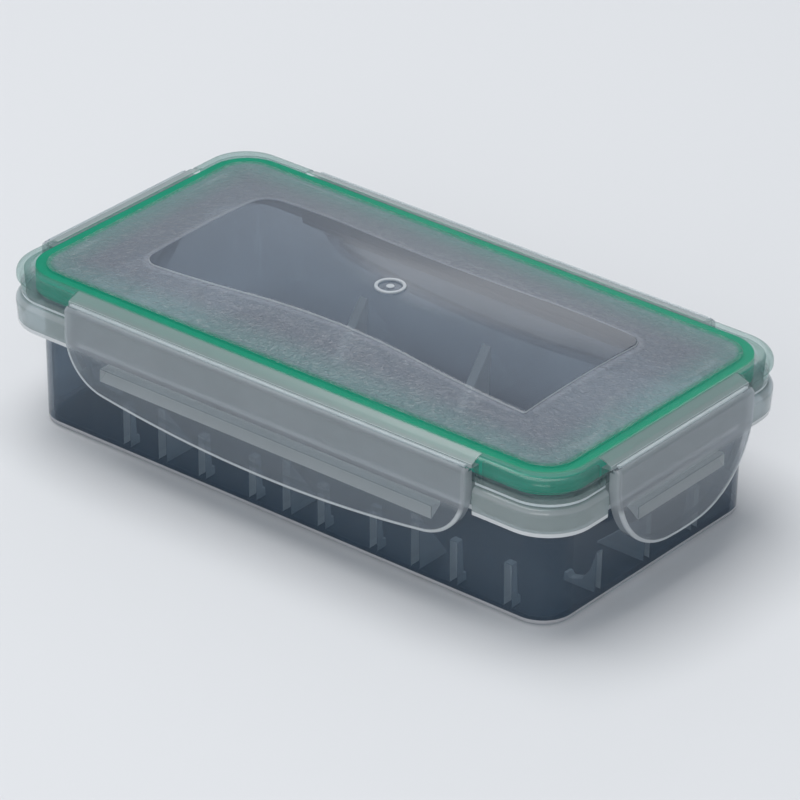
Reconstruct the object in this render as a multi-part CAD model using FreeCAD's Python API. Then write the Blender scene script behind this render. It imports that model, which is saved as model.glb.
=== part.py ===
"""Clip-lid battery storage case: an injection-moulded container, a domed lid with a seal ring,
and four flap clips that swing on thin hinge strips along the edges of the lid.

Millimetres. +X runs along the long side, +Y to the back, +Z up.
The origin is the middle of the flat underside, which is the plane that the case stands on.
Everything near the rim is placed by its distance outward from the seal line, which is the
centre line of the seal ring seen from above.
"""
import FreeCAD, Part
import math
import os

V = FreeCAD.Vector

# ---------------------------------------------------------------- container
BODY_LENGTH = 160.2         # outside length at the floor
BODY_WIDTH = 79.4           # outside width at the floor
BODY_CORNER_R = 8.3         # upright corner radius at the floor
DRAFT_DEG = 1.2             # each wall leans outward by this much
WALL = 1.4                  # wall thickness
FLOOR = 1.4                 # floor thickness
FOOT_R = 1.3                # rounding of the edge between walls and underside
LEDGE_Z = 34.9              # top of the flange, where the lid skirt rests
LEDGE_THICK = 1.3
RIM_HEIGHT = 1.4            # sealing rim, above the ledge
RIM_STEP = 0.7              # the rim stands this much further out than the wall
FLANGE_OVERHANG = 6.0       # flange edge, outward from the seal line
FLANGE_DROP = 7.4           # height of the flange skirt
FLANGE_TAPER = 0.4          # the flange skirt leans in by this much at its lower edge
FLANGE_TOP_R = 1.8          # rounding of the flange's upper edge
FLANGE_CORNER_R = 12.8      # corner radius seen from above
SKIRT_THICK = 1.2           # skirts of the flange and of the lid
EDGE_R = 0.4                # small rounding of the lower edges of flange and lid
RECESS_REACH = 3.4          # behind each clip, flange and lid end this far outward
RECESS_SLACK = 0.4          # beside each clip

# ---------------------------------------------------------------- ribs inside the container
GUSSET_PITCH = 39.4         # between the gussets that part the cells
GUSSETS_PER_WALL = 3
GUSSET_HEIGHT = 14.6        # above the floor
GUSSET_DEPTH = 10.8         # from the wall inward, along the floor
GUSSET_THICK = 2.6
STOP_RIB_X = (-50.9, -26.7, -10.7, 10.7, 26.7, 50.9, 67.0)
STOP_RIB_HEIGHT = 11.8
STOP_RIB_DEPTH = 2.7
STOP_RIB_TOE = 3.5          # depth of the rounded toe on the floor
STOP_RIB_THICK = 2.3
STOP_RIB_TAPER = 0.5        # a stop rib is this much shallower at its top
TOE_HEIGHT = 2.4
TOE_LAND = 0.8              # flat on top of a toe
TOE_RISE = 1.2              # from the toe up to where the rib proper starts
TIP_LAND = 0.4              # flat at the tip and at the top of a gusset
RIB_EDGE_R = 0.4
END_RIB_PITCH = 19.0        # between the ribs on each end wall
END_GUSSET_HEIGHT = 12.5
END_GUSSET_DEPTH = 14.0
END_HOOK_HEIGHT = 11.0
END_HOOK_DEPTH = 9.2
HOOK_HOLLOW = 1.4           # height of the hollow behind the hooked toe
HOOK_WAIST = 4.1            # depth where the hook starts to climb the wall

# ---------------------------------------------------------------- seal ring
SEAL_WIDTH = 3.6
SEAL_SKIN = 0.4             # of the lid above the seal ring
SEAL_SLACK = 0.05           # all round the seal ring in its groove, and above the rim

# ---------------------------------------------------------------- lid
LID_THICK = 1.2
LID_OVERHANG = 5.5          # lid edge, outward from the seal line
LID_CORNER_R = 12.0         # corner radius seen from above
LID_SKIRT_HEIGHT = 7.4
LID_SKIRT_TAPER = 0.35      # the lid skirt leans in by this much at its lower edge
LID_LIP = 0.5               # the lid's top stands out over its skirt by this much
LID_LIP_HEIGHT = 3.3        # from the underside of the lip to the top
LID_EDGE_R = 2.2            # rounding of the lid's upper edge
SEAM_GAP = 0.1              # between the lid skirt and the flange
CHANNEL_WALL = 1.0
CHANNEL_GAP = 1.1           # below the outer channel wall, above the ledge
PLUG_DEPTH = 1.9            # the inner channel wall reaches this far below the rim
PLUG_GAP = 0.4              # between the inner channel wall and the container wall
PLUG_THICK = 1.2
CROWN_HEIGHT = 4.6          # the panel inside the seal ring is domed by this much

WINDOW_LENGTH = 118.4
WINDOW_WIDTH = 47.0         # at its two ends
WINDOW_WAIST = 40.8         # half way along
WINDOW_WAIST_RUN = 54.0     # half length of the waisted stretch
WINDOW_RAISE = 0.5
WINDOW_CORNER_R = 5.0
WINDOW_SHARP_R = 1.0        # the front corner at the right
WINDOW_EDGE_R = 0.45        # rounding of the raised edge
GATE_RING_OD = 7.8
GATE_RING_THICK = 0.9
GATE_RING_HEIGHT = 0.5
GATE_EDGE_R = 0.2
GATE_ROOT = 0.4             # the gate ring starts this far inside the window
GATE_DOT_D = 2.0

# ---------------------------------------------------------------- clips and their hinge strips
HINGE_REACH = 6.9           # hinge axis, outward from the seal line
HINGE_DROP = 1.8            # hinge axis, below the top of the lid
HINGE_BEAD_R = 0.35
HINGE_RUN = 0.05            # running clearance of the clip round the hinge bead
HINGE_STRIP = 0.3           # thickness of the strip between lid and bead
PAD_END_GAP = 0.8           # from the hinge axis back to the end of the lid's shoulder pad
PAD_THICK = 1.0
PAD_RISE = 0.3              # top of the pad's end, above the hinge strip
PAD_START = 2.3             # the pad starts to slope this far outside the seal line
FLAP_THICK = 1.2
FLAP_BULGE = 0.9            # the middle of the flap hangs this far outside the hinge axis
FLAP_SHOULDER = 1.2         # height over which the flap bends outward, below the axis
FLAP_TOP = 0.1              # top edge of the flap, below the axis
FLAP_TOP_SLANT = 0.2        # the top edge falls by this much inward
FLAP_BEND_R = 1.0           # rounding of the bend below the shoulder
FLAP_EDGE_R = 0.5           # rounding of the flap's outer edge
FLAP_RIM_DEPTH = 3.0        # the turned-in rim round the flap, from its outer face
FLAP_RIM_THICK = 1.2
FLAP_RIM_TOP = 1.3          # the rim starts this far below the hinge axis
CATCH_GAP = 0.4             # between the catch ridge and the flange, clip hanging free
CATCH_BELOW = 0.9           # top of the catch ridge, below the flange
CATCH_TIP = 1.0             # height of the catch ridge at its tip
CATCH_ROOT = 3.6            # and where it leaves the flap

# half lengths of flap, hinge bead and catch ridge, then the flap's lower outline
LONG_CLIP = dict(flap=61.5, bead=60.6, catch=51.2, bottom=24.5, bottom_r=337.0, corner_r=13.8)
SHORT_CLIP = dict(flap=26.4, bead=25.0, catch=16.8, bottom=26.8, bottom_r=78.0, corner_r=22.0)

OVER = 1.0                  # a cutting shape runs this far past what it cuts

# ---------------------------------------------------------------- worked-out levels and outlines
SLOPE = math.tan(math.radians(DRAFT_DEG))
RIM_Z = LEDGE_Z + RIM_HEIGHT
SEAM_Z = LEDGE_Z + SEAM_GAP
LID_Z = SEAM_Z + LID_SKIRT_HEIGHT               # flat top of the lid, round the seal ring
CEILING_Z = LID_Z - LID_THICK
GROOVE_Z = LID_Z - SEAL_SKIN                    # top of the groove that holds the seal ring
FLANGE_Z = LEDGE_Z - FLANGE_DROP
AXIS_Z = LID_Z - HINGE_DROP
SEAL_OFFSET = LEDGE_Z * SLOPE - WALL / 2 + RIM_STEP   # seal line, outward from the floor's edge
SEAL_HALF_X = BODY_LENGTH / 2 + SEAL_OFFSET
SEAL_HALF_Y = BODY_WIDTH / 2 + SEAL_OFFSET
SEAL_CORNER_R = BODY_CORNER_R + SEAL_OFFSET
CHANNEL_HALF = SEAL_WIDTH / 2 + SEAL_SLACK
PLUG_FACE = RIM_STEP - WALL / 2 - WALL - PLUG_GAP     # outer face of the lid's inner wall
PLUG_INNER = min(PLUG_FACE, -CHANNEL_HALF) - PLUG_THICK
FLAP_OUT = HINGE_REACH + FLAP_BULGE + FLAP_THICK / 2
FLAP_IN = FLAP_OUT - FLAP_THICK

# side name: (turn about Z from the front, distance of the seal line, clip sizes)
SIDES = {
    "front": (0, SEAL_HALF_Y, LONG_CLIP),
    "right": (90, SEAL_HALF_X, SHORT_CLIP),
    "back": (180, SEAL_HALF_Y, LONG_CLIP),
    "left": (270, SEAL_HALF_X, SHORT_CLIP),
}


# ---------------------------------------------------------------- small tools
def rounded_wire(half_x, half_y, radius, z):
    """A rectangle with round corners, as a wire at height z."""
    cx, cy = half_x - radius, half_y - radius
    edges = []
    for turn, (x, y) in enumerate(((cx, cy), (-cx, cy), (-cx, -cy), (cx, -cy))):
        start = math.radians(90 * turn)
        arc = [V(x + radius * math.cos(start + a), y + radius * math.sin(start + a), z)
               for a in (0, math.pi / 4, math.pi / 2)]
        edges.append(Part.Arc(*arc).toShape())
    lines = []
    for i, edge in enumerate(edges):
        after = edges[(i + 1) % 4]
        lines.append(Part.makeLine(edge.Vertexes[-1].Point, after.Vertexes[0].Point))
    loop = [e for pair in zip(edges, lines) for e in pair]
    return Part.Wire(loop)


def seal_wire(offset, z, radius=None):
    """The outline that lies offset outside the seal line; concentric unless radius is given."""
    r = SEAL_CORNER_R + offset if radius is None else radius
    return rounded_wire(SEAL_HALF_X + offset, SEAL_HALF_Y + offset, r, z)


def loft(low, high):
    return Part.makeLoft([low, high], True, True)


def seal_prism(offset, z_low, z_high, radius=None):
    wire = seal_wire(offset, z_low, radius)
    return Part.Face(wire).extrude(V(0, 0, z_high - z_low))


def seal_band(inner, outer, z_low, z_high):
    """A band round the seal line, between two offsets."""
    return seal_prism(outer, z_low, z_high).cut(seal_prism(inner, z_low, z_high))


def body_wire(inset, z):
    """Outline of the container wall at height z, inset from its outer face."""
    grow = z * SLOPE - inset
    return rounded_wire(BODY_LENGTH / 2 + grow, BODY_WIDTH / 2 + grow, BODY_CORNER_R + grow, z)


def section_prism(points, half_length, seal_half):
    """A section of (outward, z) points, run along the front side about its middle."""
    ring = [V(-half_length, -(seal_half + o), z) for o, z in points]
    face = Part.Face(Part.makePolygon(ring + ring[:1]))
    return face.extrude(V(2 * half_length, 0, 0))


def to_side(shape, side):
    """Turn a shape made for the front side round to another side."""
    turned = shape.copy()
    turned.rotate(V(0, 0, 0), V(0, 0, 1), SIDES[side][0])
    return turned


def fuse_all(shapes):
    return shapes[0].multiFuse(shapes[1:]).removeSplitter()


def recesses(reach, slack):
    """Blocks outside reach, behind each clip, that step the flange and the lid skirt back."""
    blocks = []
    for side, (_, half, clip) in SIDES.items():
        far = FLANGE_OVERHANG + OVER
        low, high = FLANGE_Z - OVER, LID_Z + OVER
        points = [(reach, low), (far, low), (far, high), (reach, high)]
        blocks.append(to_side(section_prism(points, clip["flap"] + slack, half), side))
    return blocks


def fillet_where(shape, radius, wanted):
    """Round the edges that wanted(edge) picks."""
    return shape.makeFillet(radius, [e for e in shape.Edges if wanted(e)])


def lies_at(edge, z):
    box = edge.BoundBox
    return abs(box.ZMin - z) < 1e-4 and abs(box.ZMax - z) < 1e-4


def matches(edge, start, end):
    """A straight edge that is as long as the line from start to end and runs the same way."""
    line = end - start
    along = edge.tangentAt(edge.FirstParameter)
    return abs(edge.Length - line.Length) < 1e-6 and along.cross(line).Length < 1e-6


# ---------------------------------------------------------------- container
def wall_rib(points, at, thick, long_wall, mirrored):
    """A rib from (distance in from the wall's inner face, height above the floor) points."""
    corners = []
    half = (BODY_WIDTH if long_wall else BODY_LENGTH) / 2 - WALL
    for depth, height in points:
        across = half + (FLOOR + height) * SLOPE - depth
        across *= -1 if (long_wall != mirrored) else 1
        z = FLOOR + height
        corners.append(V(at - thick / 2, across, z) if long_wall else V(across, at - thick / 2, z))
    face = Part.Face(Part.makePolygon(corners + corners[:1]))
    rib = face.extrude(V(thick, 0, 0) if long_wall else V(0, thick, 0))
    free = [i for i in range(len(points) - 1) if points[i][0] > 0 and points[i + 1][0] > 0]
    ridge = max(free, key=lambda i: (corners[i + 1] - corners[i]).Length)
    return fillet_where(rib, RIB_EDGE_R, lambda e: matches(e, corners[ridge], corners[ridge + 1]))


def gusset_points(depth, height):
    root = -WALL / 2
    return [(root, -FLOOR / 2), (depth, -FLOOR / 2), (depth, TIP_LAND), (TIP_LAND, height),
            (root, height)]


def stop_points(depth, toe, height):
    """A straight rib whose foot ends in a small raised toe."""
    root = -WALL / 2
    return [(root, -FLOOR / 2), (toe, -FLOOR / 2), (toe, TOE_HEIGHT), (toe - TOE_LAND, TOE_HEIGHT),
            (depth, TOE_HEIGHT + TOE_RISE), (depth - STOP_RIB_TAPER, height), (root, height)]


def hook_points(depth, height):
    """A low gusset that hollows down to a raised, hooked toe."""
    root = -WALL / 2
    return [(root, -FLOOR / 2), (depth, -FLOOR / 2), (depth, TOE_HEIGHT),
            (depth - TOE_LAND, TOE_HEIGHT), (depth - 2 * TOE_LAND, HOOK_HOLLOW),
            (HOOK_WAIST, TOE_HEIGHT), (HOOK_WAIST / 2, height / 2), (TIP_LAND, height),
            (root, height)]


def make_ribs():
    """Gussets on all four walls, and the smaller stop ribs of the front wall and the end walls."""
    ribs = []
    for x in STOP_RIB_X:
        points = stop_points(STOP_RIB_DEPTH, STOP_RIB_TOE, STOP_RIB_HEIGHT)
        ribs.append(wall_rib(points, x, STOP_RIB_THICK, True, False))
    for mirrored in (False, True):
        for i in range(GUSSETS_PER_WALL):
            x = (i - (GUSSETS_PER_WALL - 1) / 2) * GUSSET_PITCH
            points = gusset_points(GUSSET_DEPTH, GUSSET_HEIGHT)
            ribs.append(wall_rib(points, x, GUSSET_THICK, True, mirrored))
        ends = (hook_points(END_HOOK_DEPTH, END_HOOK_HEIGHT),
                gusset_points(END_GUSSET_DEPTH, END_GUSSET_HEIGHT),
                stop_points(STOP_RIB_DEPTH, STOP_RIB_TOE, STOP_RIB_HEIGHT))
        for i, points in enumerate(ends):
            ribs.append(wall_rib(points, (i - 1) * END_RIB_PITCH, STOP_RIB_THICK, False, mirrored))
    return ribs


def make_container():
    shell = loft(body_wire(0, 0), body_wire(0, LEDGE_Z))
    shell = fillet_where(shell, FOOT_R, lambda e: lies_at(e, 0))

    flange = loft(seal_wire(FLANGE_OVERHANG - FLANGE_TAPER, FLANGE_Z, FLANGE_CORNER_R),
                  seal_wire(FLANGE_OVERHANG, LEDGE_Z, FLANGE_CORNER_R))
    flange = fillet_where(flange, FLANGE_TOP_R, lambda e: lies_at(e, LEDGE_Z))
    flange = fillet_where(flange, EDGE_R, lambda e: lies_at(e, FLANGE_Z))
    flange = flange.cut(Part.makeCompound(recesses(RECESS_REACH, RECESS_SLACK)))
    under_z = LEDGE_Z - LEDGE_THICK
    inner_r = FLANGE_CORNER_R - SKIRT_THICK
    hollow = loft(seal_wire(FLANGE_OVERHANG - FLANGE_TAPER - SKIRT_THICK, FLANGE_Z - OVER, inner_r),
                  seal_wire(FLANGE_OVERHANG - SKIRT_THICK, under_z, inner_r))
    behind = recesses(RECESS_REACH - SKIRT_THICK, RECESS_SLACK + SKIRT_THICK)
    flange = flange.cut(hollow.cut(Part.makeCompound(behind)))

    rim = seal_band(-WALL / 2, WALL / 2, LEDGE_Z - LEDGE_THICK, RIM_Z)
    case = fuse_all([shell, flange, rim])
    cavity = loft(body_wire(WALL, FLOOR), body_wire(WALL, LEDGE_Z - LEDGE_THICK))
    cavity = fillet_where(cavity, FOOT_R / 2, lambda e: lies_at(e, FLOOR))
    throat = loft(body_wire(WALL, LEDGE_Z - LEDGE_THICK), seal_wire(-WALL / 2, LEDGE_Z))
    mouth = seal_prism(-WALL / 2, LEDGE_Z, RIM_Z + OVER)
    case = case.cut(cavity).cut(throat).cut(mouth)
    return fuse_all([case] + make_ribs())


# ---------------------------------------------------------------- seal ring and lid
def make_seal_ring():
    return seal_band(-SEAL_WIDTH / 2, SEAL_WIDTH / 2, RIM_Z + SEAL_SLACK, GROOVE_Z - SEAL_SLACK)


def crown_z(x, y):
    """Height of the domed panel's top face."""
    half_x, half_y = SEAL_HALF_X + PLUG_INNER, SEAL_HALF_Y + PLUG_INNER
    return LID_Z + CROWN_HEIGHT * (1 - (x / half_x) ** 2) * (1 - (y / half_y) ** 2)


def crown_slab(lift, thick):
    """The domed panel: a patch that is level with the lid all round and highest in the middle."""
    half_x, half_y = SEAL_HALF_X + PLUG_INNER, SEAL_HALF_Y + PLUG_INNER
    poles = [[V(x, y, LID_Z + lift + (4 * CROWN_HEIGHT if x == 0 and y == 0 else 0))
              for y in (-half_y, 0, half_y)] for x in (-half_x, 0, half_x)]
    patch = Part.BezierSurface()
    patch.increase(2, 2)
    for i, row in enumerate(poles):
        for j, pole in enumerate(row):
            patch.setPole(i + 1, j + 1, pole)
    return patch.toShape().extrude(V(0, 0, -thick))


def window_outline():
    """The waisted window outline, as a face at z = 0."""
    hx, hy, waist, run = WINDOW_LENGTH / 2, WINDOW_WIDTH / 2, WINDOW_WAIST / 2, WINDOW_WAIST_RUN
    rise = hy - waist
    curve_r = (run * run + rise * rise) / (4 * rise)      # two equal arcs make each S bend
    quarter = math.asin(run / 2 / curve_r) / 2
    bow = curve_r * (1 - math.cos(quarter))
    lean = curve_r * math.sin(quarter)

    def long_side(sign):
        edges = []
        for flip in (-1, 1):
            middle = V(flip * run / 2, sign * (waist + rise / 2), 0)
            inner = V(flip * lean, sign * (waist + bow), 0)
            outer = V(flip * (run - lean), sign * (hy - bow), 0)
            edges.append(Part.Arc(V(0, sign * waist, 0), inner, middle).toShape())
            edges.append(Part.Arc(middle, outer, V(flip * run, sign * hy, 0)).toShape())
            edges.append(Part.makeLine(V(flip * run, sign * hy, 0), V(flip * hx, sign * hy, 0)))
        return edges

    ends = [Part.makeLine(V(x, -hy, 0), V(x, hy, 0)) for x in (-hx, hx)]
    edges = Part.__sortEdges__(long_side(-1) + long_side(1) + ends)
    return Part.Face(Part.Wire(edges))


def window_block():
    """The window outline as a tall block with its corners rounded."""
    block = window_outline().extrude(V(0, 0, 2 * LID_Z))
    hx, hy = WINDOW_LENGTH / 2, WINDOW_WIDTH / 2

    def corner(edge, x, y):
        box = edge.BoundBox
        upright = box.ZLength > 1 and box.XLength < 1e-4 and box.YLength < 1e-4
        return upright and abs(box.XMin - x) < 1e-3 and abs(box.YMin - y) < 1e-3

    for x, y in ((-hx, -hy), (-hx, hy), (hx, hy)):
        block = fillet_where(block, WINDOW_CORNER_R, lambda e: corner(e, x, y))
    return fillet_where(block, WINDOW_SHARP_R, lambda e: corner(e, hx, -hy))


def on_window_top(edge):
    """An edge that lies in the window's domed top face."""
    point = edge.valueAt((edge.FirstParameter + edge.LastParameter) / 2)
    return abs(point.z - crown_z(point.x, point.y) - WINDOW_RAISE) < WINDOW_EDGE_R / 4


def make_gate():
    """The moulding gate's ring and the dot in its middle."""
    root_z = LID_Z + CROWN_HEIGHT + WINDOW_RAISE - GATE_ROOT
    top_z = root_z + GATE_ROOT + GATE_RING_HEIGHT
    ring = Part.makeCylinder(GATE_RING_OD / 2, top_z - root_z, V(0, 0, root_z))
    ring = ring.cut(Part.makeCylinder(GATE_RING_OD / 2 - GATE_RING_THICK, LID_Z, V(0, 0, root_z)))
    ring = fillet_where(ring, GATE_EDGE_R, lambda e: lies_at(e, top_z))
    dot = Part.makeCylinder(GATE_DOT_D / 2, GATE_ROOT + GATE_RING_HEIGHT / 2, V(0, 0, root_z))
    return [ring, dot]


def make_pad(side):
    """The sloping shoulder of the lid that carries a hinge strip, and the wedge above it."""
    _, half, clip = SIDES[side]
    length = clip["flap"] + RECESS_SLACK
    end = HINGE_REACH - PAD_END_GAP
    end_z = AXIS_Z + HINGE_STRIP / 2 + PAD_RISE
    low_z = end_z - PAD_THICK
    root = RECESS_REACH - SKIRT_THICK
    pad = [(PAD_START, LID_Z), (end, end_z), (end, low_z), (root, low_z), (PAD_START, CEILING_Z)]
    slope = (LID_Z - end_z) / (end - PAD_START)
    over = [(PAD_START, LID_Z), (PAD_START, LID_Z + OVER), (end + OVER, LID_Z + OVER),
            (end + OVER, end_z - OVER * slope)]
    return (to_side(section_prism(pad, length, half), side),
            to_side(section_prism(over, length, half), side))


def make_lid():
    skirt_high = LID_OVERHANG - LID_LIP
    skirt_low = skirt_high - LID_SKIRT_TAPER
    lip_z = LID_Z - LID_LIP_HEIGHT
    top = loft(seal_wire(LID_OVERHANG, lip_z, LID_CORNER_R), seal_wire(LID_OVERHANG, LID_Z, LID_CORNER_R))
    top = fillet_where(top, LID_EDGE_R, lambda e: lies_at(e, LID_Z))
    top = fillet_where(top, EDGE_R, lambda e: lies_at(e, lip_z))
    skirt = loft(seal_wire(skirt_low, SEAM_Z, LID_CORNER_R),
                 seal_wire(skirt_high, lip_z + OVER, LID_CORNER_R))
    skirt = fillet_where(skirt, EDGE_R, lambda e: lies_at(e, SEAM_Z))
    block = fuse_all([top, skirt])
    block = block.cut(Part.makeCompound(recesses(RECESS_REACH, RECESS_SLACK)))
    inner_r = LID_CORNER_R - SKIRT_THICK
    hollow = loft(seal_wire(skirt_low - SKIRT_THICK, SEAM_Z - OVER, inner_r),
                  seal_wire(skirt_high - SKIRT_THICK, CEILING_Z, inner_r))
    behind = recesses(RECESS_REACH - SKIRT_THICK, RECESS_SLACK + SKIRT_THICK)
    block = block.cut(hollow.cut(Part.makeCompound(behind)))
    block = block.cut(seal_prism(PLUG_INNER, CEILING_Z - OVER, LID_Z + OVER))

    pads, wedges = zip(*[make_pad(side) for side in SIDES])
    block = block.cut(Part.makeCompound(wedges))

    throat_z = RIM_Z + CHANNEL_GAP
    outer_wall = seal_band(CHANNEL_HALF, CHANNEL_HALF + CHANNEL_WALL, LEDGE_Z + CHANNEL_GAP,
                           CEILING_Z + LID_THICK / 2)
    inner_wall = seal_band(PLUG_INNER, -CHANNEL_HALF, throat_z, CEILING_Z + LID_THICK / 2)
    plug = seal_band(PLUG_INNER, PLUG_FACE, RIM_Z - PLUG_DEPTH, throat_z)

    panel_edge = seal_prism(PLUG_INNER, CEILING_Z - OVER, LID_Z + 3 * CROWN_HEIGHT)
    panel = crown_slab(0, LID_THICK).common(panel_edge)
    window = crown_slab(WINDOW_RAISE, LID_THICK).common(window_block())
    window = fillet_where(window, WINDOW_EDGE_R, on_window_top)
    parts = [block, outer_wall, inner_wall, plug, panel, window] + make_gate() + list(pads)
    groove = seal_band(-CHANNEL_HALF, CHANNEL_HALF, LEDGE_Z, GROOVE_Z)
    return fuse_all(parts).cut(groove)


# ---------------------------------------------------------------- clips
def flap_outline(clip, inset, out_from, out_to, half, z_top):
    """The flap's outline seen square on, as a block between two outward distances."""
    side = clip["flap"] - inset
    radius = clip["bottom_r"] - inset
    low = AXIS_Z - clip["bottom"] + inset
    corner_r = clip["corner_r"] - inset
    corner_z = low + radius - math.sqrt(radius * radius - side * side)
    y = -(half + out_to)
    left, right = V(-side, y, corner_z), V(side, y, corner_z)
    edges = [Part.Arc(left, V(0, y, low), right).toShape(),
             Part.makeLine(right, V(side, y, z_top)),
             Part.makeLine(V(side, y, z_top), V(-side, y, z_top)),
             Part.makeLine(V(-side, y, z_top), left)]
    block = Part.Face(Part.Wire(edges)).extrude(V(0, out_to - out_from, 0))

    def bottom_corner(edge):
        box = edge.BoundBox
        return (box.YLength > 1e-3 and box.XLength < 1e-4 and box.ZLength < 1e-4
                and abs(box.ZMin - corner_z) < 1e-3)

    return fillet_where(block, corner_r, bottom_corner)


def on_flap_edge(edge, clip, half):
    """An edge between the flap's outer face and its sides or its lower outline."""
    point = edge.valueAt((edge.FirstParameter + edge.LastParameter) / 2)
    across = edge.BoundBox.ZLength < 1e-4 and edge.BoundBox.XLength > clip["flap"]
    return abs(point.y + half + FLAP_OUT) < 1e-4 and not across


def make_clip(side):
    _, half, clip = SIDES[side]
    flap_top = AXIS_Z - FLAP_TOP
    plate_top = AXIS_Z - FLAP_SHOULDER
    bottom = AXIS_Z - clip["bottom"] - OVER
    section = [(HINGE_REACH - FLAP_THICK / 2, flap_top - FLAP_TOP_SLANT),
               (HINGE_REACH + FLAP_THICK / 2, flap_top),
               (FLAP_OUT, plate_top + FLAP_TOP_SLANT), (FLAP_OUT, bottom), (FLAP_IN, bottom),
               (FLAP_IN, plate_top - FLAP_TOP_SLANT)]
    outline = flap_outline(clip, 0, 0, FLAP_OUT + OVER, half, flap_top)
    flap = section_prism(section, clip["flap"], half)
    flap = fillet_where(flap, FLAP_BEND_R, lambda e: lies_at(e, plate_top + FLAP_TOP_SLANT)
                        or lies_at(e, plate_top - FLAP_TOP_SLANT))
    flap = flap.common(outline)
    flap = fillet_where(flap, FLAP_EDGE_R, lambda e: on_flap_edge(e, clip, half))

    rim_in = FLAP_OUT - FLAP_RIM_DEPTH
    rim_top = AXIS_Z - FLAP_RIM_TOP
    around = flap_outline(clip, 0, rim_in, FLAP_OUT - FLAP_THICK / 2, half, rim_top)
    inside = flap_outline(clip, FLAP_RIM_THICK, rim_in - OVER, FLAP_OUT, half, rim_top + OVER)
    rim = around.cut(inside)
    cap_z = plate_top - FLAP_TOP_SLANT - FLAP_BEND_R
    rim_cap = [(FLAP_IN, cap_z), (FLAP_IN, AXIS_Z + OVER), (FLAP_OUT + OVER, AXIS_Z + OVER),
               (FLAP_OUT + OVER, cap_z)]
    rim = rim.cut(section_prism(rim_cap, clip["flap"] + OVER, half))

    top_z = FLANGE_Z - CATCH_BELOW
    tip = RECESS_REACH + CATCH_GAP
    root = FLAP_IN + FLAP_THICK / 2
    catch = [(root, top_z), (tip, top_z), (tip, top_z - CATCH_TIP), (FLAP_IN, top_z - CATCH_ROOT),
             (root, top_z - CATCH_ROOT)]
    catch = section_prism(catch, clip["catch"], half)

    body = fuse_all([flap, rim, catch])
    seat = Part.makeCylinder(HINGE_BEAD_R + HINGE_RUN, 2 * (clip["flap"] + OVER),
                             V(-clip["flap"] - OVER, -(half + HINGE_REACH), AXIS_Z), V(1, 0, 0))
    return to_side(body.cut(seat), side)


def make_hinge_strip(side):
    """The thin strip that leaves the lid's pad and ends in the bead that the clip turns on."""
    _, half, clip = SIDES[side]
    bead = Part.makeCylinder(HINGE_BEAD_R, 2 * clip["bead"],
                             V(-clip["bead"], -(half + HINGE_REACH), AXIS_Z), V(1, 0, 0))
    low, high = AXIS_Z - HINGE_STRIP / 2, AXIS_Z + HINGE_STRIP / 2
    end = HINGE_REACH - PAD_END_GAP
    points = [(end, low), (HINGE_REACH, low), (HINGE_REACH, high), (end, high)]
    strip = section_prism(points, clip["bead"], half)
    return to_side(fuse_all([strip, bead]), side)


# ---------------------------------------------------------------- write the pieces
def main():
    pieces = {"container": make_container(), "lid": make_lid(), "seal_ring": make_seal_ring()}
    for side in SIDES:
        pieces["clip_" + side] = make_clip(side)
        pieces["hinge_strip_" + side] = make_hinge_strip(side)
    os.makedirs("parts", exist_ok=True)
    for name, shape in pieces.items():
        solids = shape.Solids
        kept = solids[0] if len(solids) == 1 else Part.makeCompound(solids)
        kept.exportStep(os.path.join("parts", name + ".step"))
        box = kept.BoundBox
        print(name, "solids", len(solids), "valid", kept.isValid(), "volume", round(kept.Volume, 1),
              "box", [round(v, 2) for v in (box.XMin, box.YMin, box.ZMin, box.XMax, box.YMax, box.ZMax)])


main()
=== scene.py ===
"""Looks of the clip-lid battery storage case: translucent polypropylene, a green seal and a pale floor."""
import math

import bpy
from mathutils import Matrix, Vector

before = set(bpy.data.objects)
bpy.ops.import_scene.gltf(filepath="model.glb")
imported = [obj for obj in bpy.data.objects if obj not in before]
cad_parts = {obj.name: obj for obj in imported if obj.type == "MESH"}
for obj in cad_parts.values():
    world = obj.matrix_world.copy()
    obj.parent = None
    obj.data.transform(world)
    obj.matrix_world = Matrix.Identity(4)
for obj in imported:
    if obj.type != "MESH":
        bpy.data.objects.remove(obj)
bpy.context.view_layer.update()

MM = 0.001

# ---------------------------------------------------------------- camera and stage
CAMERA_AZIMUTH = math.radians(38.632)
CAMERA_ELEVATION = math.radians(28.659)
CAMERA_ROLL = math.radians(0.903)
CAMERA_DISTANCE = 1.3033
CAMERA_LENS = 242.02
CAMERA_SENSOR = 36
CAMERA_TARGET = Vector((0, 0, 18.309 * MM))
CAMERA_SLIDE = (2.723 * MM, -1.543 * MM)      # right and up, in the picture plane
CAMERA_CLIP = (0.05, 20)

FLOOR_REACH = 4.0
FLOOR_LEVEL = -0.1 * MM                       # just under the case, so that no two faces lie in one plane
FLOOR_COLOR = (0.62, 0.63, 0.645)
FLOOR_ROUGHNESS = 0.6
WORLD_COLOR = (0.80, 0.84, 0.90)
WORLD_STRENGTH = 0.5
LAMPS = (                                     # name, place, size in metres, watts
    ("key", (-0.35, 0.05, 1.5), (1.2, 1.2), 20),
    ("fill", (0.6, -1.3, 0.7), (0.9, 0.7), 7),
    ("back", (-0.68, 1.17, 0.64), (0.42, 0.34), 0.5),
)
CLEAR_BOUNCES = 48                            # a ray crosses many thin faces before it leaves the case


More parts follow.
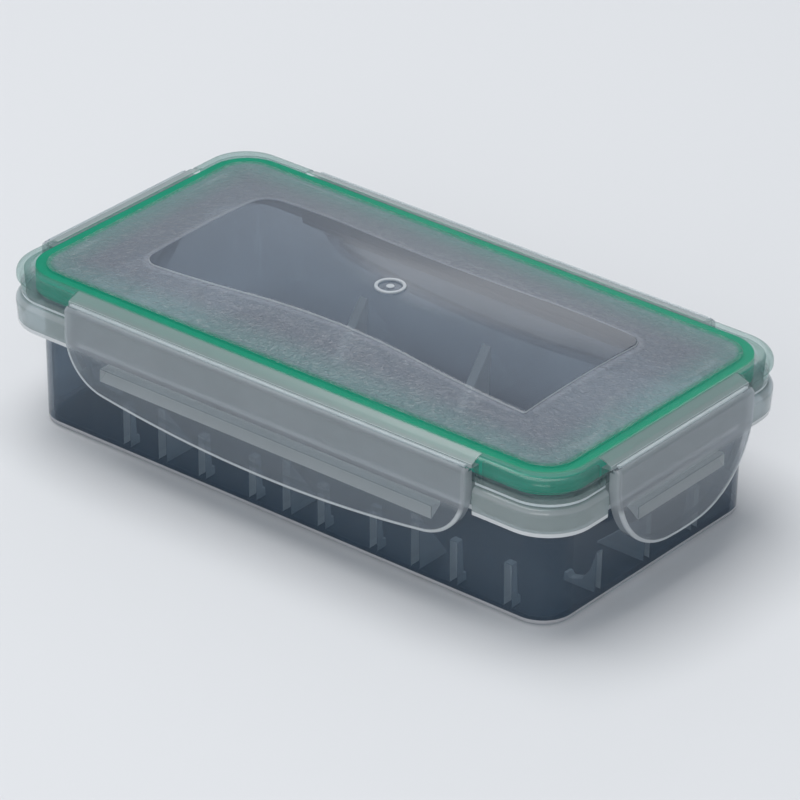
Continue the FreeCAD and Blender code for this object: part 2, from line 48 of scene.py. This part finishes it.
def make_camera():
    back = Vector((math.sin(CAMERA_AZIMUTH) * math.cos(CAMERA_ELEVATION),
                   -math.cos(CAMERA_AZIMUTH) * math.cos(CAMERA_ELEVATION),
                   math.sin(CAMERA_ELEVATION)))
    level = Vector((math.cos(CAMERA_AZIMUTH), math.sin(CAMERA_AZIMUTH), 0))
    upright = back.cross(level)
    right = level * math.cos(CAMERA_ROLL) + upright * math.sin(CAMERA_ROLL)
    up = upright * math.cos(CAMERA_ROLL) - level * math.sin(CAMERA_ROLL)
    data = bpy.data.cameras.new("camera")
    data.lens = CAMERA_LENS
    data.sensor_width = CAMERA_SENSOR
    data.clip_start, data.clip_end = CAMERA_CLIP
    camera = bpy.data.objects.new("camera", data)
    place = CAMERA_TARGET + right * CAMERA_SLIDE[0] + up * CAMERA_SLIDE[1] + back * CAMERA_DISTANCE
    axes = Matrix((right, up, back)).transposed().to_4x4()
    camera.matrix_world = Matrix.Translation(place) @ axes
    bpy.context.scene.collection.objects.link(camera)
    bpy.context.scene.camera = camera


# ---------------------------------------------------------------- node helpers
NOISE_SPREAD = (0.3, 0.7)                     # where most of a noise's values lie
EDGE_TILT = (0.15, 0.45, 0.85, 0.96)          # upward part of a normal: a rounding's start, full, full, end


class Graph:
    """A material's node tree, with short calls for what the materials below need."""

    def __init__(self, name):
        self.material = bpy.data.materials.new(name)
        self.material.use_nodes = True
        self.nodes = self.material.node_tree.nodes
        self.links = self.material.node_tree.links
        self.nodes.clear()
        places = self.node("ShaderNodeTexCoord")
        self.coords = places.outputs["Object"]        # the pieces sit at the origin: the case's metres
        self.x, self.y, self.z = self.node("ShaderNodeSeparateXYZ", {0: self.coords}).outputs
        self.away_x, self.away_y = self.absolute(self.x), self.absolute(self.y)
        normal = self.node("ShaderNodeSeparateXYZ", {0: places.outputs["Normal"]})
        self.facing_x, self.facing_y, self.facing_z = (self.absolute(part) for part in normal.outputs)

    def node(self, kind, sockets=None, **settings):
        made = self.nodes.new(kind)
        for key, value in settings.items():
            setattr(made, key, value)
        for key, value in (sockets or {}).items():
            target = made.inputs[key]
            if isinstance(value, bpy.types.NodeSocket):
                self.links.new(value, target)
            elif target.type == "RGBA":
                target.default_value = (*value, 1.0)
            else:
                target.default_value = value
        return made

    def math(self, operation, a, b=0.0, clamp=False):
        return self.node("ShaderNodeMath", {0: a, 1: b}, operation=operation, use_clamp=clamp).outputs[0]

    def plus(self, a, b):
        return self.math("ADD", a, b)

    def minus(self, a, b):
        return self.math("SUBTRACT", a, b)

    def absolute(self, value):
        return self.math("ABSOLUTE", value)

    def rest(self, share):
        """What a share leaves of 1."""
        return self.minus(1.0, share)

    def both(self, *values):
        product = values[0]
        for value in values[1:]:
            product = self.math("MULTIPLY", product, value)
        return product

    def either(self, *values):
        largest = values[0]
        for value in values[1:]:
            largest = self.math("MAXIMUM", largest, value)
        return largest

    def strongest(self, *parts):
        """The largest of mask times share, over pairs of a mask and its share."""
        return self.either(*(self.both(mask, share) for mask, share in parts))

    def remap(self, value, low, high, to_low=0.0, to_high=1.0, smooth=False):
        kind = "SMOOTHSTEP" if smooth else "LINEAR"
        made = self.node("ShaderNodeMapRange", {"Value": value, "From Min": low, "From Max": high,
                                                "To Min": to_low, "To Max": to_high},
                         interpolation_type=kind)
        return made.outputs["Result"]

    def mask(self, value, start, end):
        """Rises smoothly from 0 at start to 1 at end; start may lie above end."""
        if start < end:
            return self.remap(value, start, end, smooth=True)
        return self.remap(value, end, start, 1.0, 0.0, smooth=True)

    def step(self, value, start, end):
        """A mask between two lengths that are given in millimetres."""
        return self.mask(value, start * MM, end * MM)

    def level(self, start, end):
        """A mask between two heights in millimetres."""
        return self.step(self.z, start, end)

    def blend(self, share, a, b):
        """A number that is a where share is 0 and b where it is 1."""
        return self.remap(share, 0.0, 1.0, a, b)

    def layers(self, color, *parts):
        """Lays colours over the first, each where its mask is 1; parts are pairs of mask and colour."""
        for mask, layer in parts:
            mixed = self.node("ShaderNodeMix", {0: mask, 6: color, 7: layer}, data_type="RGBA")
            color = mixed.outputs[2]
        return color

    def mix_shader(self, share, a, b):
        return self.node("ShaderNodeMixShader", {0: share, 1: a, 2: b}).outputs[0]

    def noise(self, scale, detail=3.0, distortion=0.0):
        sockets = {"Vector": self.coords, "Scale": scale, "Detail": detail, "Distortion": distortion}
        return self.node("ShaderNodeTexNoise", sockets).outputs[0]

    def cloud(self, scale, low, high):
        """A soft noise that mostly runs from low to high."""
        return self.remap(self.noise(scale), *NOISE_SPREAD, low, high)

    def bump(self, height, strength, distance):
        sockets = {"Strength": strength, "Distance": distance, "Height": height}
        return self.node("ShaderNodeBump", sockets).outputs[0]

    def rounded_edges(self):
        """1 on the small roundings between upright and level faces, where highlights are painted."""
        start, full, still_full, end = EDGE_TILT
        return self.both(self.mask(self.facing_z, start, full), self.mask(self.facing_z, end, still_full))

    def outline_distance(self, half_x, half_y, radius):
        """Distance outside a rectangle with round corners, seen from above; its sizes in millimetres."""
        qx = self.minus(self.away_x, (half_x - radius) * MM)
        qy = self.minus(self.away_y, (half_y - radius) * MM)
        beyond = self.length(self.math("MAXIMUM", qx, 0.0), self.math("MAXIMUM", qy, 0.0))
        inside = self.math("MINIMUM", self.math("MAXIMUM", qx, qy), 0.0)
        return self.minus(self.plus(beyond, inside), radius * MM)

    def length(self, a, b):
        return self.math("SQRT", self.plus(self.both(a, a), self.both(b, b)))

    def finish(self, surface):
        self.node("ShaderNodeOutputMaterial", {"Surface": surface})
        return self.material


# ---------------------------------------------------------------- outlines of the case, in millimetres
SEAL_LINE = (80.83, 40.43, 9.03)       # middle of the seal: half length, half width, corner radius
FOOT_LINE = (80.1, 39.7, 8.3)          # outside of the container at the floor, the same three
WALL_LEAN = 0.0209                     # the walls lean outward by this share of the height
LID_TOP = 42.4
DOME = (77.78, 37.38, 4.6)             # half length, half width, height
WINDOW = (59.2, 23.5, 5.0)             # half length, half width at the ends, corner radius
WINDOW_WAIST = (20.4, 54.0)            # half width half way along, half length of the waist
HINGE_Z = 40.6
LONG_FLAP = (61.5, 24.5, 337.0, 13.8)  # half length, drop, lower radius, corner radius
SHORT_FLAP = (26.4, 26.8, 78.0, 22.0)

# ---------------------------------------------------------------- looks of the plastic
# Haze is the share of light that a face scatters. Milk is the colour that it scatters, and tint the
# colour that it gives to what passes through.
# The ridge, edge and foot entries are painted highlights: pale lines on the container's rounded rib tops,
# edges and foot.
BODY_HAZE = dict(wall=0.50, wall_inside=0.12, floor=0.6, flange=0.38, rib=0.78, toe=0.9, ridge=0.9, edge=0.92)
BODY_MILK = dict(wall=(0.052, 0.092, 0.138), floor=(0.080, 0.120, 0.168), flange=(0.48, 0.55, 0.53),
                 rib=(0.96, 0.96, 0.94), ridge=(0.92, 0.93, 0.92), edge=(0.80, 0.82, 0.83),
                 foot=(0.60, 0.60, 0.62))
BODY_TINT = dict(wall=(0.75, 0.81, 0.86), rib=(0.93, 0.95, 0.96))

# The bead, catch and flank entries are pale lines: the bead partly the turned-in rim seen through and partly
# a painted highlight; catch and flank partly their own thicker plastic and partly painted highlights.
CLIP_HAZE = dict(inner=0.10, outer=0.26, high=0.22, catch=0.85, flank=0.5, bead=0.8)
CLIP_MILK = dict(low=(0.26, 0.31, 0.35), high=(0.46, 0.50, 0.53), flank=(0.62, 0.65, 0.66),
                 catch=(0.80, 0.82, 0.80), bead=(0.66, 0.70, 0.72))
CLIP_TINT = (0.86, 0.88, 0.90)

# Painted light in these tables: glow, bleed and upper put the seal's green glow into the plastic near it,
# margin is a painted lighter band around the window, and edge is a painted highlight on the lid's edges.
LID_HAZE = dict(plain=0.05, frost=0.62, bleed=0.6, margin=0.62, border=0.12, skirt=0.05, skirt_low=0.38,
                pad=0.60, edge=0.85, window=0.23)
LID_MILK = dict(border=(0.33, 0.39, 0.39), frost=(0.225, 0.26, 0.31), glow=(0.195, 0.33, 0.34),
                margin=(0.305, 0.335, 0.39), upper=(0.25, 0.40, 0.37), bleed=(0.005, 0.26, 0.165),
                window=(0.24, 0.27, 0.325), edge=(0.74, 0.78, 0.81))
LID_TINT = dict(plain=(0.84, 0.88, 0.89), window=(0.74, 0.775, 0.83), upper=(0.76, 0.84, 0.83),
                seal_cover=(0.97, 0.98, 0.98))

# painted highlights: how much of the pale edge colour the window's bevel, the gate mark and the pads' ends
# take
LID_EDGE = dict(bevel=0.75, gate=0.8, pad_end=0.6)    # how much of the edge's look each of them takes
LID_GRAIN = dict(scale=620.0, detail=3.0, distortion=1.6)
GRAIN_STRENGTH = 0.8
GRAIN_HEIGHT = 0.6 * MM
COVER_CLEARING = 0.9                   # share of the haze that goes where the lid covers the seal
COVER_SHINE = 0.25                     # and what stays of the reflection there

FILM_MILK = (0.62, 0.68, 0.70)
FILM_TINT = (0.92, 0.94, 0.95)

SEAL_DARK = (0.0, 0.21, 0.12)
SEAL_GREEN = (0.0, 0.26, 0.15)
# painted light: the seal is drawn brighter under the lid's frost, to cancel the shade that the frost casts on
# it
SEAL_UNDER_FROST = (0.0, 0.50, 0.31)   # makes up for the frost of the lid over it
# painted light: brighter green on the seal's upright faces, which lie in shade under the lid
SEAL_UPRIGHT = (0.0, 0.55, 0.38)

RUBBER_ROUGHNESS = 0.5
RUBBER_SPECULAR = 0.1
RUBBER_BUMP = (0.1, 0.2 * MM)          # strength, height

THROUGH = 0.3                          # share of the scattered light that leaves by the far side
GRAZING = dict(frosted=0.5, clear=0.3, seal_cover=0.1)    # haze added where a face is seen at a slant
GRAZING_POWER = 4.0
GLOSS_ROUGHNESS = 0.15
PLASTIC_IOR = 1.45
WHITE = (1.0, 1.0, 1.0)


def translucent(graph, tint, milk, haze, normal=None, grazing=GRAZING["clear"], shine=1.0):
    """Thin moulded plastic: each face scatters the share haze and lets the rest through, tinted."""
    bumped = {} if normal is None else {"Normal": normal}
    front = graph.node("ShaderNodeBsdfDiffuse", {"Color": milk, **bumped}).outputs[0]
    behind = graph.node("ShaderNodeBsdfTranslucent", {"Color": milk, **bumped}).outputs[0]
    body = graph.mix_shader(THROUGH, front, behind)
    clear = graph.node("ShaderNodeBsdfTransparent", {"Color": tint}).outputs[0]
    facing = graph.node("ShaderNodeLayerWeight", {"Blend": 0.5}).outputs["Facing"]
    slanting = graph.both(graph.math("POWER", facing, GRAZING_POWER), grazing)
    inside = graph.mix_shader(graph.math("ADD", haze, slanting, clamp=True), clear, body)
    gloss = {"Color": WHITE, "Roughness": GLOSS_ROUGHNESS, **bumped}
    mirror = graph.node("ShaderNodeBsdfGlossy", gloss).outputs[0]
    fresnel = graph.node("ShaderNodeFresnel", {"IOR": PLASTIC_IOR, **bumped}).outputs[0]
    backfacing = graph.node("ShaderNodeNewGeometry").outputs["Backfacing"]
    reflected = graph.both(fresnel, graph.rest(backfacing), shine)
    return graph.finish(graph.mix_shader(reflected, inside, mirror))


def clear_body():
    """The container: bluish walls, ribs and flange a little milky, with painted highlights along its foot,
    its flange's lower edge, its outer rounded edges and its rib tops.
    """
    graph = Graph("clear_body")
    haze, milk, tint = BODY_HAZE, BODY_MILK, BODY_TINT
    lean = graph.both(graph.z, WALL_LEAN)
    wall = graph.minus(graph.outline_distance(*FOOT_LINE), lean)
    inside = graph.step(wall, -1.5, -1.6)
    skin = graph.step(wall, -0.5, -0.3)
    flange = graph.step(wall, 0.3, 0.5)
    rib = graph.both(inside, graph.level(1.5, 1.7))
    toe = graph.both(rib, graph.level(4.2, 3.4))
    # painted highlight along the ribs' rounded tops
    ridge = graph.both(rib, graph.rounded_edges())
    floor = graph.both(inside, graph.rest(rib))
    # painted highlights: pale lines on the flange's lower edge, on the foot and on the outer rounded edges
    flange_low = graph.both(flange, graph.level(28.9, 28.6))
    foot = graph.both(graph.step(wall, -1.25, -1.15), graph.level(1.6, 1.4), graph.level(0.15, 0.35))
    corner = graph.both(graph.rounded_edges(), graph.rest(inside), 0.5, graph.level(3.0, 4.0))
    edge = graph.either(flange_low, foot, corner)
    body = graph.either(graph.blend(skin, haze["wall_inside"], haze["wall"]),
                        graph.strongest((floor, haze["floor"]), (flange, haze["flange"]), (rib, haze["rib"]),
                                        (toe, haze["toe"]), (ridge, haze["ridge"]), (edge, haze["edge"])))
    color = graph.layers(milk["wall"], (floor, milk["floor"]), (flange, milk["flange"]), (rib, milk["rib"]),
                         (ridge, milk["ridge"]), (edge, milk["edge"]), (foot, milk["foot"]))
    passing = graph.layers(tint["wall"], (rib, tint["rib"]))
    return translucent(graph, passing, color, graph.both(body, graph.cloud(30.0, 0.9, 1.1)))


def flap_distance(graph, along, flap):
    """Distance outside the outline of a clip's flap, seen square on; along runs with its hinge."""
    side, drop, lower_r, corner_r = (value * MM for value in flap)
    high = HINGE_Z * MM - drop + lower_r                  # centre of the lower arc
    corner_x = side - corner_r
    corner_z = high - math.sqrt((lower_r - corner_r) ** 2 - corner_x ** 2)

    def from_centre(center_x, center_z, radius):
        return graph.minus(graph.length(graph.minus(along, center_x), graph.minus(graph.z, center_z)), radius)

    sharp = graph.math("MAXIMUM", from_centre(0.0, high, lower_r), graph.minus(along, side))
    slope = corner_x / (high - corner_z)
    past = graph.minus(along, graph.both(graph.minus(high, graph.z), slope))
    in_corner = graph.both(graph.math("GREATER_THAN", past, 0.0), graph.math("LESS_THAN", graph.z, corner_z),
                           graph.math("GREATER_THAN", along, corner_x))
    return graph.plus(graph.both(in_corner, from_centre(corner_x, corner_z, corner_r)),
                      graph.both(graph.rest(in_corner), sharp))


def clip_plastic():
    """A clip: a hazy flap with a pale line along its edge, partly its turned-in rim and partly a painted
    highlight, paler near the hinge.
    """
    graph = Graph("frosted_clip")
    haze, milk = CLIP_HAZE, CLIP_MILK
    reach = graph.outline_distance(*SEAL_LINE)
    long_side = graph.step(graph.away_y, 42.0, 43.0)
    short_side = graph.rest(long_side)

    def by_side(on_long, on_short):
        return graph.plus(graph.both(on_long, long_side), graph.both(on_short, short_side))

    outline = by_side(flap_distance(graph, graph.away_x, LONG_FLAP),
                      flap_distance(graph, graph.away_y, SHORT_FLAP))
    end_on = by_side(graph.facing_x, graph.facing_y)
    outer = graph.step(reach, 7.35, 7.6)
    high = graph.level(28.0, 31.0)
    # flank: the flap's end walls, painted pale, partly their own plastic seen edge on and partly a painted
    # highlight
    flank = graph.both(graph.mask(end_on, 0.5, 0.8), graph.step(reach, 8.3, 8.1))
    # catch: the ridge inside the flap, painted pale, partly its own thicker plastic and partly a painted
    # highlight
    catch = graph.both(graph.step(reach, 7.1, 6.9), graph.step(outline, -2.5, -3.0))
    # painted highlight: a pale line just inside the flap's outline, over its turned-in rim
    bead = graph.both(graph.step(outline, -1.15, -0.75), outer, graph.blend(high, 1.0, 0.4))
    flap = graph.plus(graph.blend(outer, haze["inner"], haze["outer"]), graph.both(high, outer, haze["high"]))
    body = graph.either(flap, graph.strongest((catch, haze["catch"]), (flank, haze["flank"]),
                                              (bead, haze["bead"])))
    color = graph.layers(milk["low"], (high, milk["high"]), (graph.both(flank, 0.6), milk["flank"]),
                         (catch, milk["catch"]), (bead, milk["bead"]))
    return translucent(graph, CLIP_TINT, color, graph.both(body, graph.cloud(40.0, 0.93, 1.07)))


def above_dome(graph):
    """Height above the lid's domed face."""
    run_x = graph.math("DIVIDE", graph.x, DOME[0] * MM)
    run_y = graph.math("DIVIDE", graph.y, DOME[1] * MM)
    bulge = graph.both(graph.math("SUBTRACT", 1.0, graph.both(run_x, run_x), clamp=True),
                       graph.math("SUBTRACT", 1.0, graph.both(run_y, run_y), clamp=True))
    return graph.minus(graph.z, graph.plus(graph.both(bulge, DOME[2] * MM), LID_TOP * MM))


def beyond_window(graph):
    """Distance outside the window's waisted outline."""
    half_width = graph.remap(graph.away_x, 0.0, WINDOW_WAIST[1] * MM, WINDOW_WAIST[0] * MM, WINDOW[1] * MM,
                             smooth=True)
    return graph.math("MAXIMUM", graph.outline_distance(*WINDOW), graph.minus(graph.away_y, half_width))


def lid_plastic():
    """The lid: a frosted panel with a painted green glow from the seal near it, a smooth window, a clear
    border, and painted highlights on its edges.
    """
    graph = Graph("frosted_lid")
    haze, milk, tint = LID_HAZE, LID_MILK, LID_TINT
    above = above_dome(graph)
    reach = graph.outline_distance(*SEAL_LINE)

    # faces of the panel, told apart by their height above the dome
    panel = graph.step(reach, -0.78, -0.96)
    frost = graph.both(panel, graph.step(graph.absolute(above), 0.12, 0.06))
    window_top = graph.step(above, 0.3, 0.4)
    window_under = graph.both(graph.step(above, -0.95, -0.85), graph.step(above, -0.45, -0.55))
    window = graph.both(panel, graph.either(window_top, window_under))
    bevel = graph.both(panel, graph.step(above, 0.02, 0.08), graph.step(above, 0.44, 0.38))
    gate = graph.both(panel, graph.step(above, 0.54, 0.60))
    # painted light: a lighter band of frost around the window, standing in for light refracted at the
    # window's edge
    margin = graph.both(frost, graph.step(beyond_window(graph), 1.9, 0.9))

    # what lies over and outside the seal
    over_seal = graph.both(graph.step(reach, -0.96, -0.78), graph.step(reach, 2.1, 1.5),
                           graph.level(40.0, 40.5))
    channel = graph.both(graph.step(reach, 1.7, 1.8), graph.step(reach, 3.0, 2.9), graph.level(41.3, 41.1))
    seal_cover = graph.either(over_seal, channel)
    long_pads = graph.both(graph.step(graph.away_x, 62.1, 61.8), graph.step(graph.away_y, 42.2, 42.6))
    short_pads = graph.both(graph.step(graph.away_y, 27.0, 26.7), graph.step(graph.away_x, 82.6, 83.0))
    pad = graph.both(graph.either(long_pads, short_pads), graph.level(39.8, 40.0))
    pad_end = graph.both(pad, graph.step(reach, 5.9, 6.05))
    border = graph.both(graph.step(reach, 1.6, 2.4), graph.level(39.0, 40.5))
    skirt = graph.step(reach, 4.0, 4.3)
    skirt_low = graph.both(skirt, graph.level(37.8, 36.8))
    # painted highlights: pale lines on the lid's lower lip, the window's bevel, the gate mark and the pads'
    # ends; at the pads' ends the pale colour also covers a line of shade
    lip = graph.both(graph.step(reach, 4.25, 4.35), graph.level(36.0, 35.8))
    edge = graph.either(lip, graph.strongest((bevel, LID_EDGE["bevel"]), (gate, LID_EDGE["gate"]),
                                             (pad_end, LID_EDGE["pad_end"])))
    # painted glow: the skirt and border above the lower skirt get green milk and a green tint, for the seal's
    # light behind them
    upper = graph.both(graph.either(skirt, border), graph.level(36.8, 37.8), graph.rest(pad))

    # painted glow: the seal's green light spread into the plastic beside it
    glow = graph.step(reach, -13.0, -2.5)
    # painted glow: a green band that widens the seal's image inward, standing in for its light refracted by
    # the groove
    bleed = graph.both(graph.step(reach, -3.1, -1.1), graph.step(reach, 2.9, 1.9))
    bleed_top = graph.both(bleed, graph.level(41.0, 41.6))

    body = graph.either(graph.strongest((frost, haze["frost"]), (graph.both(frost, bleed), haze["bleed"]),
                                        (margin, haze["margin"]), (skirt, haze["skirt"]),
                                        (border, haze["border"]), (skirt_low, haze["skirt_low"]),
                                        (pad, haze["pad"]), (edge, haze["edge"]),
                                        (window, haze["window"])), haze["plain"])
    body = graph.both(body, graph.rest(graph.both(seal_cover, COVER_CLEARING)))
    frosted = graph.layers(milk["frost"], (glow, milk["glow"]), (margin, milk["margin"]))
    color = graph.layers(milk["border"], (panel, frosted), (upper, milk["upper"]), (bleed_top, milk["bleed"]),
                         (window, milk["window"]), (edge, milk["edge"]))
    passing = graph.layers(tint["plain"], (window, tint["window"]), (upper, tint["upper"]),
                           (seal_cover, tint["seal_cover"]))
    grain = graph.noise(**LID_GRAIN)
    dull = graph.either(over_seal, graph.both(skirt, 0.6))
    return translucent(graph, passing, color, body,
                       normal=graph.bump(grain, graph.both(frost, GRAIN_STRENGTH), GRAIN_HEIGHT),
                       grazing=graph.blend(seal_cover, GRAZING["frosted"], GRAZING["seal_cover"]),
                       shine=graph.blend(dull, 1.0, COVER_SHINE))


def hinge_film():
    """The thin creases that the clips bend at."""
    graph = Graph("hinge_film")
    return translucent(graph, FILM_TINT, FILM_MILK, graph.cloud(200.0, 0.5, 0.65),
                       grazing=GRAZING["frosted"])


def green_seal():
    """Matt green rubber, painted brighter under the frost and on upright faces to cancel the shade that the
    lid casts there.
    """
    graph = Graph("green_seal")
    cloud = graph.noise(120.0, 4.0)
    # painted light on the seal: brighter under the frost and on upright faces
    under_frost = graph.step(graph.outline_distance(*SEAL_LINE), -0.85, -1.1)
    upright = graph.mask(graph.facing_z, 0.7, 0.3)
    color = graph.layers(SEAL_DARK, (cloud, SEAL_GREEN), (under_frost, SEAL_UNDER_FROST),
                         (upright, SEAL_UPRIGHT))
    rubber = {"Base Color": color, "Roughness": RUBBER_ROUGHNESS, "Specular IOR Level": RUBBER_SPECULAR,
              "Normal": graph.bump(cloud, *RUBBER_BUMP)}
    return graph.finish(graph.node("ShaderNodeBsdfPrincipled", rubber).outputs[0])


def floor_material():
    graph = Graph("floor")
    paint = {"Base Color": FLOOR_COLOR, "Roughness": FLOOR_ROUGHNESS}
    return graph.finish(graph.node("ShaderNodeBsdfPrincipled", paint).outputs[0])


def dress(name, material):
    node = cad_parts[name]
    node.data.materials.clear()
    node.data.materials.append(material)


# ---------------------------------------------------------------- stage
def make_floor():
    mesh = bpy.data.meshes.new("floor")
    signs = ((-1, -1), (1, -1), (1, 1), (-1, 1))
    corners = [(x * FLOOR_REACH, y * FLOOR_REACH, FLOOR_LEVEL) for x, y in signs]
    mesh.from_pydata(corners, [], [(0, 1, 2, 3)])
    mesh.materials.append(floor_material())
    floor = bpy.data.objects.new("floor", mesh)
    bpy.context.scene.collection.objects.link(floor)


def make_lamp(name, place, size, power):
    data = bpy.data.lights.new(name, "AREA")
    data.shape = "RECTANGLE"
    data.size, data.size_y = size
    data.energy = power
    lamp = bpy.data.objects.new(name, data)
    lamp.location = place
    aim = (CAMERA_TARGET - Vector(place)).normalized()
    lamp.rotation_euler = aim.to_track_quat("-Z", "Y").to_euler()
    bpy.context.scene.collection.objects.link(lamp)


def make_world():
    world = bpy.data.worlds.new("world")
    world.use_nodes = True
    background = world.node_tree.nodes["Background"]
    background.inputs["Color"].default_value = (*WORLD_COLOR, 1.0)
    background.inputs["Strength"].default_value = WORLD_STRENGTH
    bpy.context.scene.world = world


make_camera()
make_world()
make_floor()
for lamp_settings in LAMPS:
    make_lamp(*lamp_settings)

dress("container", clear_body())
dress("lid", lid_plastic())
dress("seal_ring", green_seal())
clip_material = clip_plastic()
film_material = hinge_film()
for side in ("front", "right", "back", "left"):
    dress("clip_" + side, clip_material)
    dress("hinge_strip_" + side, film_material)

scene = bpy.context.scene
scene.view_settings.view_transform = "Standard"
scene.cycles.transparent_max_bounces = CLEAR_BOUNCES
